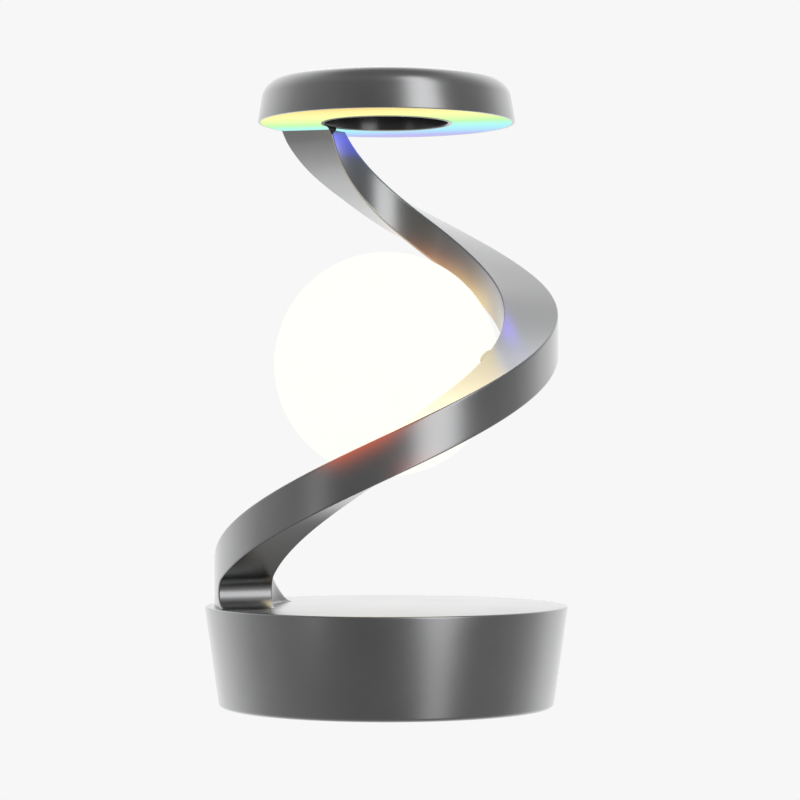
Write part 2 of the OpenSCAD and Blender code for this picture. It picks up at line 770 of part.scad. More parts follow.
module ring_screws() {
    color(STEEL) at_ring_screws(frame_z)
        screw(ring_screw_d, frame_t + ring_screw_grip - 0.5, ring_head_d, ring_head_h);
}
module head_bolt() {
    color(STEEL) translate(arm_point(bolt_a, ring_z + bolt_seat, bolt_off)) mirror([0, 0, 1])
        screw(bolt_d, bolt_seat + bolt_grip, bolt_head_d, bolt_head_h);
}
module head_dowel() {
    color(STEEL) translate(arm_point(dowel_a, ring_z - dowel_in, bolt_off))
        cylinder(d = dowel_d, h = frame_t + 2*dowel_in - 2*cut);
}

// Globe
module globe_shade() {
    color(OPAL) difference() {
        translate([0, 0, globe_z]) sphere(r = globe_r);
        translate([0, 0, globe_z]) sphere(r = globe_r - globe_wall);
        at_pivot(globe_r/2) cylinder(d = hub_d, h = globe_r);
    }
}
module hub_gasket() {
    edge = sqrt(globe_r*globe_r - hub_d*hub_d/4);
    start = hub_back + 1.6;
    color(RUBBER) at_pivot(start) disc_ring(hub_d/2 - gasket_t, hub_d/2 - seat_clear, edge - start);
}
module globe_hub() {
    color(OPAL) difference() {
        union() {
            intersection() {
                translate([0, 0, globe_z]) sphere(r = globe_r);
                at_pivot(hub_back) cylinder(d = hub_plug_d, h = globe_r);
            }
            at_pivot(hub_back + 1) cylinder(d = boss_d, h = boss_end - hub_back - 1);
        }
        at_pivot(hub_back - cut) cylinder(d = shaft_d + 2*seat_clear, h = globe_r);
    }
}
module globe_led_post() {
    color(STEEL) at_pivot(hub_back - post_l) difference() {
        cylinder(d = post_d, h = post_l, $fn = post_sides);
        translate([0, 0, -cut]) cylinder(d = post_bore_d, h = post_l + 2*cut);
    }
}
module globe_leds() {
    flat = post_d/2*cos(180/post_sides);
    pitch = 7;
    size = 3;
    thick = 1;
    rows = floor((post_l - 2*size)/pitch);
    color(LED_WHITE) at_pivot(hub_back - post_l) for (k = [0:post_sides - 1], i = [0:rows - 1])
        rotate([0, 0, 360*(k + 0.5)/post_sides]) translate([flat, -size/2, size + i*pitch])
            cube([thick, size, size]);
}
module pivot_shaft() {
    color(STEEL) difference() {
        at_pivot(shaft_root) cylinder(d = shaft_d, h = shaft_tip - shaft_root);
        at_pivot(clip_start) disc_ring(clip_root_d/2, shaft_d, clip_t);
    }
}
module retaining_clip() {
    color(STEEL) at_pivot(clip_start + seat_clear)
        disc_ring(clip_root_d/2 + seat_clear, clip_d/2, clip_t - 2*seat_clear);
}

// Buttons, each with the plunger of its switch
module button(k) {
    at_button(k, button_flange_r - button_flange_t) cylinder(d = button_flange_d, h = button_flange_t);
    at_button(k, stem_r) cylinder(d = stem_d, h = stem_l + cut);
    at_button(k, button_flange_r - cut)
        cylinder(d = button_d, h = shell_r(button_z) + button_out - button_flange_r + cut);
}
module plunger(k) {
    at_button(k, plunger_end) cylinder(d = plunger_d, h = stem_r - plunger_end);
}
module power_button() { color(STEEL) button(0); }
module power_plunger() { color(BLACK_PLASTIC) plunger(0); }
module colour_button() { color(STEEL) button(1); }
module colour_plunger() { color(BLACK_PLASTIC) plunger(1); }

base_shell();
bottom_cover();
cover_screws();
foot_ring();
ballast_plate();
battery_pad();
battery_pack();
main_board();
board_parts();
board_screws();
usb_inlet();
tact_switches();
base_lead();
arm_screws();
arm_channel();
arm_cover();
arm_harness();
pivot_bush();
contact_cap();
ring_housing();
ring_frame();
ring_led_board();
ring_leds();
ring_diffuser();
ring_screws();
head_bolt();
head_dowel();
globe_shade();
hub_gasket();
globe_hub();
globe_led_post();
globe_leds();
pivot_shaft();
retaining_clip();
power_button();
power_plunger();
colour_button();
colour_plunger();
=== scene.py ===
"""Desk lamp with a glowing globe inside a ribbon arm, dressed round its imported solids."""
import json
import math

import bmesh
import bpy
from bpy.props import FloatProperty, FloatVectorProperty, IntProperty, PointerProperty
from mathutils import Matrix, Vector


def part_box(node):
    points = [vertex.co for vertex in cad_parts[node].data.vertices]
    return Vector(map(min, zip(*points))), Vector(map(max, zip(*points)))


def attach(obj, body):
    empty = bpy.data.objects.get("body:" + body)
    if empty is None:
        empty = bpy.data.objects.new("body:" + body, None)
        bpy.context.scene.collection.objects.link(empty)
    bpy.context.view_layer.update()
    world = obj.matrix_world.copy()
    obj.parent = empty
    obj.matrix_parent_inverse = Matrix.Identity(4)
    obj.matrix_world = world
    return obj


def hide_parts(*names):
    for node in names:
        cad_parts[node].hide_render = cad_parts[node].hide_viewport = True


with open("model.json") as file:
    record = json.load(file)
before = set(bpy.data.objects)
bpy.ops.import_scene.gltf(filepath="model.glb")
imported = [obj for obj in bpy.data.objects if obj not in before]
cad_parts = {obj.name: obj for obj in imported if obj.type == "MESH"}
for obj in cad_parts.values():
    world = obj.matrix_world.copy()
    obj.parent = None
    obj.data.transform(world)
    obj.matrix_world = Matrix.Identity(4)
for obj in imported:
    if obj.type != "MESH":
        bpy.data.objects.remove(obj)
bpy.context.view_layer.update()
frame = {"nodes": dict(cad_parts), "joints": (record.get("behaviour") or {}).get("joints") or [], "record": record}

bl_info = {
    "name": "Ribbon Lamp",
    "version": (1, 0, 0),
    "blender": (4, 5, 0),
    "location": "View3D > Sidebar > Lamp",
    "description": "Dresses the solids of a desk lamp with smooth shells, finishes and a studio",
    "category": "Object",
}

# Distance within which points are one, and angle past which an edge is sharp
MERGE = 1e-6
SHARP = math.radians(35)

# Distance by which the base's shell reaches below its solid
SHELL_DROP = 0.0003

# Steps of the turned shapes and of the arm's ends, and cells across the arm and its small parts
SMALL_TURN = 64
FLOOR_TURN = 96
FOOT_STEPS = 60
HEAD_STEPS = 40
WALL_CELLS = 12
LIP_CELLS = 2
COVER_CELLS = 10
TOE_CELLS = 24
TAB_CELLS = 32


def low(name):
    """Lowest corner of a solid."""
    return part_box(name)[0]


def high(name):
    """Highest corner of a solid."""
    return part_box(name)[1]


def length(name, description, default):
    """A length in metres that the sidebar shows."""
    return FloatProperty(name=name, description=description, default=default, precision=5, unit="LENGTH")


def angle(name, description, degrees):
    """An angle that the sidebar shows, given in degrees."""
    return FloatProperty(
        name=name, description=description, default=math.radians(degrees), precision=3, unit="ROTATION"
    )


def amount(name, description, default):
    """A plain number that the sidebar shows."""
    return FloatProperty(name=name, description=description, default=default, precision=3)


def count(name, description, default):
    """A number of steps that the sidebar shows."""
    return IntProperty(name=name, description=description, default=default, min=32, max=512)


def colour(name, description, default):
    """A linear colour that the sidebar shows."""
    return FloatVectorProperty(
        name=name, description=description, default=default, size=3, min=0.0, soft_max=1.0, subtype="COLOR"
    )


class LampSizes(bpy.types.PropertyGroup):
    """Sizes of the shells, which follow the solids"""

    shell_edge: length(
        "Shell edge", "Height of the base's lower edge over the floor", low("base_shell").z - SHELL_DROP
    )
    deck: length("Deck", "Height of the deck over the floor", high("base_shell").z)
    base_radius: length("Base radius", "Radius of the deck", 0.06)
    base_taper: length("Base taper", "Amount by which the base narrows towards the floor", 0.0048)
    base_wall: length("Base wall", "Thickness of the base's side wall", 0.003)
    deck_thickness: length("Deck thickness", "Thickness of the deck", 0.004)
    deck_lift: length("Deck lift", "Height of the deck's face over the arm's seat", 0.00025)
    base_round: length("Lower rounding", "Rounding of the base's lower edge", 0.0015)
    rim_round: length("Deck rounding", "Rounding of the deck's edge", 0.0006)
    ring_level: length("Ring level", "Height of the ring's underside", low("ring_housing").z)
    ring_height: length("Ring height", "Height of the ring", high("ring_housing").z - low("ring_housing").z)
    ring_radius: length("Ring radius", "Outer radius of the ring's lower edge", 0.0427)
    ring_hole: length("Hole radius", "Radius of the ring's hole", 0.0207)
    ring_slope: angle("Ring slope", "Slope of the ring's outer wall", 9)
    ring_round: length("Ring rounding", "Rounding of the ring's upper edge", 0.007)
    ring_wall: length("Ring wall", "Wall of the ring's housing", 0.002)
    ring_rim: length("Ring rim", "Width of the rim round the diffuser", 0.001)
    diffuser: length("Diffuser", "Thickness of the diffuser", 0.0022)
    hole_round: length("Hole rounding", "Rounding of the hole's upper edge", 0.0015)
    ring_lip: length("Ring lip", "Distance by which the hole's rim stands below the lit face", 0.0002)
    # Thickness of the thin black sheet in the ring's hole, which paints the shade inside the hole
    shade_sheet: length("Sleeve", "Thickness of the black sleeve in the ring's hole", 0.00025)
    ring_edge: length("Ring edge", "Rounding of the ring's lower edges", 0.0003)
    arm_width: length("Arm width", "Radial width of the arm", 0.0179)
    arm_height: length("Arm height", "Height of the arm", 0.0136)
    arm_radius: length("Arm radius", "Radius of the arm's middle", 0.04785)
    arm_start: angle("Arm start", "Angle at which the arm leaves the deck", 177)
    arm_turn: angle("Arm turn", "Angle that the arm turns through", 326)
    end_rise: length("End rise", "Extra rise over the last part of the turn", 0.0095)
    rise_from: angle("Rise from", "Turn at which the extra rise starts", 203)
    bend_from: angle("Bend from", "Turn at which the arm bends in", 245)
    bend_power: amount("Bend power", "Power of the bend's curve", 1.3)
    end_skew: angle("End skew", "Angle between the arm's end and its radius", 22)
    skew_power: amount("Skew power", "Power of the skew's curve", 3)
    land_gap: length("Land gap", "Distance of the arm's outer corner inside the ring's edge", 0.0002)
    foot_fillet: length("Foot fillet", "Radius between the arm's underside and the deck", 0.0056)
    side_fillet: length("Side fillet", "Radius between the arm's inner wall and the deck", 0.0008)
    tail_fillet: length("Tail fillet", "Radius between the arm's upper face and the deck", 0.02)
    head_blend: angle("Head blend", "Turn over which the arm's upper face runs out under the ring", 14)
    toe_start: angle("Toe start", "Angle at which the arm's run-out meets the hole's edge", 146)
    toe_end: angle("Toe end", "Angle at which the arm's run-out ends", 179)
    toe_depth: length("Toe depth", "Height of the run-out at the arm", 0.0015)
    tab_angle: angle("Tab angle", "Angle of the tab over the globe's bush", 326)
    tab_width: length("Tab width", "Width of the tab along the arm", 0.0052)
    tab_depth: length("Tab depth", "Height of the tab", 0.003)
    tab_edge: length("Tab edge", "Rounding of the tab's upper edge", 0.0003)
    tab_out: length("Tab out", "Distance that the tab stands out of the inner wall", 0.00145)
    lip: length("Arm lip", "Height of the lips over and under the cover", 0.002)
    cover: length("Cover", "Thickness of the cover in the arm's inner wall", 0.0022)
    cover_gap: length("Cover gap", "Gap round the cover", 0.00001)
    outer_drop: length("Outer drop", "Distance by which the outer wall is lower than the inner", 0.00055)
    drop_gap: angle("Drop gap", "Angle behind the globe at which both walls are level", 468)
    drop_fade: angle("Drop fade", "Angle over which the outer wall gets level there", 16)
    drop_end: angle("Drop end", "Angle over which the outer wall gets level under the ring", 5)
    arm_edge: length("Arm edge", "Rounding of the arm's long edges", 0.00045)
    globe_wall: length("Globe wall", "Wall of the globe", 0.002)
    hub_radius: length("Hub radius", "Radius of the opening that the hub closes", 0.012)
    bush_radius: length("Bush radius", "Radius of the hole for the globe's bush", 0.00305)
    bush_out: length("Bush distance", "Distance of the bush from the globe's centre", 0.04)
    bush_depth: length("Bush depth", "Depth of the cut for the bush", 0.012)
    button_radius: length("Button radius", "Radius of a button's cap", 0.0035)
    button_level: length("Button level", "Height of the buttons' axes", 0.02085)
    button_angle: angle("Button angle", "Angle between a button and the rear", 15)
    button_out: length("Button out", "Distance that a button stands out of the wall", 0.0008)
    button_gap: length("Button gap", "Gap round a button", 0.00005)
    button_chamfer: length("Button chamfer", "Chamfer round a button's bore", 0.0003)
    button_dish: length("Button dish", "Depth of the dish in a cap", 0.0002)
    button_rim: length("Button rim", "Width of the rim round the dish", 0.0006)
    button_round: length("Button rounding", "Rounding of a cap's edge", 0.0003)
    collar_face: length("Collar face", "Depth of a cap's collar behind the wall", 0.0067)
    collar_back: length("Collar back", "Depth of the collar's rear face", 0.0078)
    collar_out: length("Collar width", "Distance that the collar stands out", 0.001)
    stem_radius: length("Stem radius", "Radius of a cap's stem", 0.0015)
    stem_end: length("Stem end", "Depth of the stem's end behind the wall", 0.009)
    socket_gap: length("Socket gap", "Gap round the inlet", 0.0002)
    turn_steps: count("Turn steps", "Steps of a full turn", 256)
    arm_steps: count("Arm steps", "Stations along the arm's run", 220)


class LampFinish(bpy.types.PropertyGroup):
    """Colours and light of the lamp"""

    graphite: colour("Graphite", "Reflectance of the satin metal", (0.165, 0.166, 0.168))
    globe_light: colour("Globe light", "Colour that the globe shows", (0.982, 1.0, 0.945))
    globe_power: amount("Globe strength", "Radiance that the globe shows", 1.0)
    lamp_light: colour("Lamp light", "Colour of the light of the globe on the metal", (1.0, 0.82, 0.46))
    lamp_power: amount("Lamp strength", "Radiance of that light", 2.4)
    lamp_gap: length("Lamp gap", "Distance of that light outside the globe", 0.0002)
    ring_power: amount("Ring strength", "Radiance of the lit ring", 1.0)
    band_span: length("Band span", "Distance over which the ring's colours change", 0.1)
    band_lean: amount("Band lean", "Lean of the ring's bands of colour", 0.27)
    rear_light: colour("Rear light", "Colour of the ring's light on the arm's upper end", (0.13, 0.08, 1.0))
    rear_power: amount("Rear strength", "Radiance of that light", 2.6)
    wall_light: colour("Wall light", "Colour of the ring's light on the arm's inner wall", (0.02, 0.06, 1.0))
    wall_power: amount("Wall strength", "Radiance of that light", 2.3)
    side_light: colour("Side light", "Colour of the ring's light beside the globe", (0.12, 0.03, 1.0))
    side_power: amount("Side strength", "Radiance of that light", 4.4)
    front_glow: colour("Front glow", "Colour of the glow over the metal before the globe", (0.85, 0.1, 0.01))
    rear_glow: colour("Rear glow", "Colour of the glow over the metal behind its side", (0.95, 0.6, 0.12))
    top_glow: colour("Top glow", "Colour of the glow over the metal behind its top", (0.5, 0.08, 0.0))


class LampStudio(bpy.types.PropertyGroup):
    """Camera, light and ground"""

    distance: length("Distance", "Distance of the camera from the lamp's axis", 0.901)
    eye: length("Eye height", "Height of the camera over the floor", 0.0878)
    aside: length("Aside", "Distance of the camera to the right of the axis", 0.00447)
    tilt: angle("Tilt", "Upward tilt of the camera", 0.85)
    lens: FloatProperty(
        name="Lens", description="Focal length on a 36 mm sensor", default=122.4, unit="CAMERA"
    )
    floor_radius: length("Floor radius", "Radius of the floor", 4.0)
    ground: amount("Ground", "Brightness of the floor and backdrop", 0.93)
    front: amount("Front", "Brightness of the room in front of the lamp", 0.39)
    overhead: amount("Overhead", "Brightness of the room over the lamp", 0.5)
    side_dim: amount("Side dimming", "Share by which the room is dimmer to the right", 0.28)


# Pieces


def make_piece(name, bm, material, body, nodes):
    """Turns a mesh that is under way into a piece that rides on a body and stands for solids."""
    bmesh.ops.remove_doubles(bm, verts=bm.verts, dist=MERGE)
    bmesh.ops.recalc_face_normals(bm, faces=bm.faces)
    mesh = bpy.data.meshes.new(name)
    bm.to_mesh(mesh)
    bm.free()
    mesh.shade_smooth()
    mesh.set_sharp_from_angle(angle=SHARP)
    mesh.materials.append(material)
    piece = bpy.data.objects.new(name, mesh)
    bpy.context.scene.collection.objects.link(piece)
    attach(piece, body)
    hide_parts(*nodes)
    return piece


def round_off(bm, geom, offset, segments, affect="EDGES", clamp=False):
    """Rounds edges or corners of a mesh that is under way."""
    bmesh.ops.bevel(
        bm, geom=geom, offset=offset, segments=segments, profile=0.5, affect=affect, clamp_overlap=clamp,
        material=-1,
    )


def pull_out(bm):
    """Extrudes a sheet, and returns the points of its new side."""
    made = bmesh.ops.extrude_face_region(bm, geom=bm.faces[:])
    return [v for v in made["geom"] if isinstance(v, bmesh.types.BMVert)]


def spin_profile(corners, steps, rounds=()):
    """A solid of revolution about Z from the corners of its half section, some of them rounded.

    Each entry of rounds is a corner's number, its radius and its number of segments.
    """
    bm = bmesh.new()
    verts = [bm.verts.new((r, 0, z)) for r, z in corners]
    for first, second in zip(verts, verts[1:] + verts[:1]):
        bm.edges.new((first, second))
    for number, radius, segments in rounds:
        here = Vector(corners[number])
        to_last = (Vector(corners[number - 1]) - here).normalized()
        to_next = (Vector(corners[(number + 1) % len(corners)]) - here).normalized()
        offset = radius/math.tan(to_last.angle(to_next)/2)
        round_off(bm, [verts[number]], offset, segments, "VERTICES")
    bmesh.ops.spin(
        bm, geom=bm.verts[:] + bm.edges[:], axis=(0, 0, 1), cent=(0, 0, 0), angle=math.tau, steps=steps,
        use_merge=True,
    )
    bmesh.ops.remove_doubles(bm, verts=bm.verts, dist=MERGE)
    bmesh.ops.recalc_face_normals(bm, faces=bm.faces)
    return bm


def place_mesh(bm, matrix):
    """Moves a mesh that is under way."""
    bmesh.ops.transform(bm, matrix=matrix, verts=bm.verts)
    return bm


def carve(piece, cutters):
    """Cuts meshes that are under way out of a piece."""
    made = []
    for number, bm in enumerate(cutters):
        mesh = bpy.data.meshes.new(f"cutter_{number}")
        bm.to_mesh(mesh)
        bm.free()
        cutter = bpy.data.objects.new(mesh.name, mesh)
        bpy.context.scene.collection.objects.link(cutter)
        made.append(cutter)
        cut = piece.modifiers.new(mesh.name, "BOOLEAN")
        cut.operation = "DIFFERENCE"
        cut.solver = "EXACT"
        cut.object = cutter
    graph = bpy.context.evaluated_depsgraph_get()
    result = bpy.data.meshes.new_from_object(piece.evaluated_get(graph))
    result.name = piece.name
    piece.modifiers.clear()
    old = piece.data
    piece.data = result
    bpy.data.meshes.remove(old)
    for cutter in made:
        bpy.data.meshes.remove(cutter.data)
    result.shade_smooth()
    result.set_sharp_from_angle(angle=SHARP)


def button_place(sizes, side):
    """Matrix that puts a shape made along Z on a button's axis, with the wall's outside at zero."""
    turn = math.pi/2 - side*sizes.button_angle
    wall = shell_radius(sizes, sizes.button_level)
    return (
        Matrix.Translation((wall*math.cos(turn), wall*math.sin(turn), sizes.button_level))
        @ Matrix.Rotation(turn, 4, "Z")
        @ Matrix.Rotation(math.pi/2, 4, "Y")
    )


def shell_radius(sizes, z):
    """Outer radius of the base at a height."""
    return sizes.base_radius - (sizes.deck - z)*sizes.base_taper/sizes.deck


class ArmPath:
    """Path of the ribbon arm: angles round the lamp's axis, and heights over the floor."""

    def __init__(self, s):
        self.sizes = s
        self.half = s.arm_width/2
        self.end_radius = (
            math.sqrt((s.ring_radius - s.land_gap)**2 - (self.half*math.sin(s.end_skew))**2)
            - self.half*math.cos(s.end_skew)
        )
        rise = s.ring_level - s.deck
        self.steady = rise - s.end_rise
        self.lead = math.atan(self.steady/(s.arm_turn*s.arm_radius))
        self.toe = s.foot_fillet/math.tan(self.lead/2)
        self.lift = self.toe - s.foot_fillet*math.sin(self.lead)
        self.ramp = -s.arm_height/math.tan(self.lead)
        self.tail = self.ramp - s.tail_fillet*math.tan(self.lead/2)
        late = self.steady/s.arm_turn*(s.arm_turn - s.rise_from)
        left = self.steady/s.arm_turn*s.rise_from - rise + s.arm_height
        top_share = -2*left/(late + math.sqrt(late*late - 4*s.end_rise*left))
        self.head_turn = s.rise_from + top_share*(s.arm_turn - s.rise_from) - s.head_blend

    def share(self, turn, start):
        """Share of the turn that is done after a start."""
        return max(0.0, turn - start)/(self.sizes.arm_turn - start)

    def height(self, a):
        """Height of the underside at an angle."""
        s = self.sizes
        turn = a - s.arm_start
        late = self.share(turn, s.rise_from)
        return s.deck + self.steady*turn/s.arm_turn + s.end_rise*late**2

    def point(self, a, z, out):
        """Point at an angle and height, at an offset outwards from the arm's middle."""
        s = self.sizes
        bend = self.share(a - s.arm_start, s.bend_from)
        r = s.arm_radius - (s.arm_radius - self.end_radius)*bend**s.bend_power
        b = a + s.end_skew*bend**s.skew_power
        return Vector((r*math.cos(a) + out*math.cos(b), r*math.sin(a) + out*math.sin(b), z))

    def flare(self, z):
        """Distance by which the inner wall spreads where it meets the deck."""
        fillet = self.sizes.side_fillet
        h = z - self.sizes.deck
        return 0.0 if h >= fillet else fillet - math.sqrt(max(0.0, fillet**2 - (fillet - h)**2))

    def drop(self, a, z):
        """Distance by which the outer wall is lower, less at both ends and behind the globe."""
        s = self.sizes
        behind = max(0.0, 1 - abs(a - s.drop_gap)/s.drop_fade)
        left = max(0.0, s.arm_start + s.arm_turn - a)/s.drop_end
        return s.outer_drop*min(1.0, (z - s.deck)/s.arm_height, left)*(1 - behind)

    def ramp_height(self, x):
        """Height of the upper face over the deck, along the foot."""
        fillet = self.sizes.tail_fillet
        if x < self.tail + fillet*math.sin(self.lead):
            return fillet - math.sqrt(fillet**2 - (x - self.tail)**2)
        return math.tan(self.lead)*(x - self.ramp)

    def stations(self, foot_steps, run_steps, head_steps):
        """Lower angle and height, and upper angle and height, of each station along the arm."""
        s = self.sizes
        made = []
        for i in range(foot_steps):
            v = i/foot_steps
            f = v*(math.pi - self.lead)
            x = self.tail + v*(self.lift - self.tail)
            made.append((
                s.arm_start + (self.toe - s.foot_fillet*math.sin(f))/s.arm_radius,
                s.deck + s.foot_fillet*(1 - math.cos(f)),
                s.arm_start + x/s.arm_radius,
                s.deck + self.ramp_height(x),
            ))
        lift_turn = self.lift/s.arm_radius
        for i in range(run_steps):
            a = s.arm_start + lift_turn + i/run_steps*(self.head_turn - lift_turn)
            made.append((a, self.height(a), a, self.height(a) + s.arm_height))
        for i in range(head_steps + 1):
            v = i/head_steps
            a = s.arm_start + self.head_turn + v*(s.arm_turn - self.head_turn)
            b = s.arm_start + self.head_turn + v*s.head_blend
            made.append((a, self.height(a), b, self.height(b) + s.arm_height))
        return made

    def section_point(self, station, f, side):
        """Point of a station's section: f is the share of its height, side is outer, inner or seat."""
        a = station[0] + (station[2] - station[0])*f
        z = station[1] + (station[3] - station[1])*f
        if side == "outer":
            return self.point(a, z - self.drop(a, z)*(1 - f), self.half)
        if side == "seat":
            return self.point(a, z, -self.half + self.sizes.cover)
        return self.point(a, z, -self.half - self.flare(z))


def sweep_section(path, stations, section):
    """A solid through stations of the arm. Each entry of section is a share of the height and a side."""
    bm = bmesh.new()
    rows = len(section)
    bmesh.ops.create_grid(bm, x_segments=len(stations) - 1, y_segments=rows, size=0.5)
    row_of = bm.verts.layers.int.new("row")
    for vert in bm.verts:
        i = round((vert.co.x + 0.5)*(len(stations) - 1))
        j = round((vert.co.y + 0.5)*rows) % rows
        vert[row_of] = j
        vert.co = path.section_point(stations[i], *section[j])
    bmesh.ops.remove_doubles(bm, verts=bm.verts, dist=MERGE)
    return bm, row_of


def close_ends(bm):
    """Closes the open ends of a swept solid."""
    bmesh.ops.holes_fill(bm, edges=[e for e in bm.edges if e.is_boundary], sides=0)
    bmesh.ops.recalc_face_normals(bm, faces=bm.faces)


def shares(first, last, steps):
    """Even shares from first to last."""
    return [first + (last - first)*k/steps for k in range(steps + 1)]


class LampPiece(bpy.types.Operator):
    """What the operators that make pieces have in common"""

    bl_options = {"REGISTER", "UNDO"}


class LAMP_OT_base(LampPiece):
    """Make the base: one turned shell with a rounded deck edge and openings at the rear"""

    bl_idname = "lamp.base"
    bl_label = "Base"

    def execute(self, context):
        s = context.scene.lamp_sizes
        top = s.deck + s.deck_lift
        under = s.deck - s.deck_thickness
        inner = [shell_radius(s, z) - s.base_wall for z in (s.shell_edge, under)]
        bm = spin_profile(
            [
                (inner[0], s.shell_edge), (shell_radius(s, s.shell_edge), s.shell_edge),
                (s.base_radius, top), (0, top), (0, under), (inner[1], under),
            ],
            s.turn_steps, [(1, s.base_round, 8), (2, s.rim_round, 6)],
        )
        piece = make_piece("base_body", bm, graphite(context), "stand", ["base_shell"])
        carve(piece, [self.button_hole(s, side) for side in (1, -1)] + [self.socket_hole(s)])
        return {"FINISHED"}

    def button_hole(self, s, side):
        """Bore of a button, with a fine chamfer at the wall."""
        r = s.button_radius + s.button_gap
        bm = spin_profile(
            [
                (0, -2*s.base_wall), (r, -2*s.base_wall), (r, -s.button_chamfer),
                (r + s.base_wall + s.button_chamfer, s.base_wall), (0, s.base_wall),
            ],
            SMALL_TURN,
        )
        return place_mesh(bm, button_place(s, side))

    def socket_hole(self, s):
        """Slot of the inlet, with ends that are just short of half round."""
        size = high("usb_inlet") - low("usb_inlet")
        middle = (high("usb_inlet") + low("usb_inlet"))/2
        width, height = size.x + 2*s.socket_gap, size.z + 2*s.socket_gap
        bm = bmesh.new()
        bmesh.ops.create_cube(bm, size=1)
        bmesh.ops.scale(bm, vec=(width, 6*s.base_wall, height), verts=bm.verts)
        ends = [e for e in bm.edges if abs(e.verts[0].co.y - e.verts[1].co.y) > s.base_wall]
        round_off(bm, ends, height/2*0.999, 12)
        return place_mesh(bm, Matrix.Translation((middle.x, shell_radius(s, middle.z), middle.z)))


class LAMP_OT_arm(LampPiece):
    """Make the ribbon arm, the cover in its inner wall, its toe at the ring and its tab at the globe"""

    bl_idname = "lamp.arm"
    bl_label = "Arm"

    def execute(self, context):
        s = context.scene.lamp_sizes
        path = ArmPath(s)
        stations = path.stations(FOOT_STEPS, s.arm_steps, HEAD_STEPS)
        lip = s.lip/s.arm_height
        outer = [(f, "outer") for f in shares(0, 1, WALL_CELLS)]
        upper = [(f, "inner") for f in shares(1, 1 - lip, LIP_CELLS)]
        seat = [(f, "seat") for f in shares(1 - lip, lip, COVER_CELLS)]
        lower = [(f, "inner") for f in shares(lip, 0, LIP_CELLS)]
        section = outer + upper + seat + lower
        bm, row_of = sweep_section(path, stations, section)
        corners = {0, len(outer) - 1, len(outer), len(section) - 1}
        edges = [
            e for e in bm.edges
            if e.verts[0][row_of] == e.verts[1][row_of] and e.verts[0][row_of] in corners
        ]
        round_off(bm, edges, s.arm_edge, 3)
        close_ends(bm)
        arm = make_piece("ribbon_arm", bm, graphite(context), "stand", ["arm_channel"])
        keep_walls_flat(arm)
        gap = s.cover_gap/s.arm_height
        face = [(f, "inner") for f in shares(1 - lip - gap, lip + gap, COVER_CELLS)]
        back = [(f, "seat") for f in shares(lip + gap, 1 - lip - gap, COVER_CELLS)]
        bm, row_of = sweep_section(path, stations, face + back)
        close_ends(bm)
        cover = make_piece("ribbon_cover", bm, graphite(context), "stand", ["arm_cover"])
        carve(cover, [self.bush_hole(s)])
        bm = self.toe(s, path, stations[-1])
        # The toe's near-black finish paints the shade where the arm's end meets the ring's hole
        make_piece("arm_toe", bm, toe_black(context), "stand", [])
        make_piece("bush_tab", self.tab(s, path), graphite(context), "stand", [])
        return {"FINISHED"}

    def toe(self, s, path, landing):
        """Thin run-out of the arm's end along the edge of the ring's hole."""
        corner = path.section_point(landing, 0, "inner")
        near = s.ring_hole - s.shade_sheet
        tip = Vector((near*math.cos(s.toe_end), near*math.sin(s.toe_end), s.ring_level))
        bm = bmesh.new()
        bmesh.ops.create_grid(bm, x_segments=TOE_CELLS, y_segments=1, size=0.5)
        for vert in bm.verts:
            v = vert.co.x + 0.5
            a = s.toe_start + v*(s.toe_end - s.toe_start)
            edge = Vector((near*math.cos(a), near*math.sin(a), s.ring_level))
            vert.co = edge if vert.co.y < 0 else corner.lerp(tip, v)
        bmesh.ops.remove_doubles(bm, verts=bm.verts, dist=MERGE)
        reach = (corner - tip).length
        for vert in pull_out(bm):
            vert.co.z -= s.ring_edge + s.toe_depth*min(1.0, (vert.co - tip).length/reach)**2
        return bm

    def tab(self, s, path):
        """Small tab on the arm's inner edge, flush with its upper face, over the globe's bush."""
        bm = bmesh.new()
        bmesh.ops.create_grid(bm, x_segments=TAB_CELLS, y_segments=1, size=0.5)
        for vert in bm.verts:
            t = 2*vert.co.x
            a = s.tab_angle + t*s.tab_width/2/(s.arm_radius - path.half)
            out = s.arm_edge if vert.co.y < 0 else -s.tab_out*math.sqrt(max(0.0, 1 - t*t))
            vert.co = path.point(a, path.height(a) + s.arm_height, out - path.half)
        wall = s.arm_radius - path.half + MERGE
        rim = [e for e in bm.edges if all(v.co.xy.length < wall for v in e.verts)]
        bmesh.ops.translate(bm, vec=(0, 0, -s.tab_depth), verts=pull_out(bm))
        round_off(bm, rim, s.tab_edge, 3, clamp=True)
        return bm

    def bush_hole(self, s):
        """Hole in the cover for the globe's bush."""
        bm = bmesh.new()
        bmesh.ops.create_cone(
            bm, cap_ends=True, segments=SMALL_TURN, radius1=s.bush_radius, radius2=s.bush_radius,
            depth=s.bush_depth,
        )
        return place_mesh(bm, pivot_place(s.bush_out))


def keep_walls_flat(piece):
    """Lets the broad faces set the shading, so that only the narrow edges turn."""
    weight = piece.modifiers.new("walls", "WEIGHTED_NORMAL")
    weight.keep_sharp = True
    weight.weight = 80


def pivot_place(out):
    """Matrix that puts a shape made along Z on the globe's axis, at a distance from its centre."""
    joint = next(j for j in frame["joints"] if j["name"] == "globe_spin")
    turn = Vector((0, 0, 1)).rotation_difference(Vector(joint["axis"])).to_matrix().to_4x4()
    return Matrix.Translation(joint["pos_m"]) @ turn @ Matrix.Translation((0, 0, out))


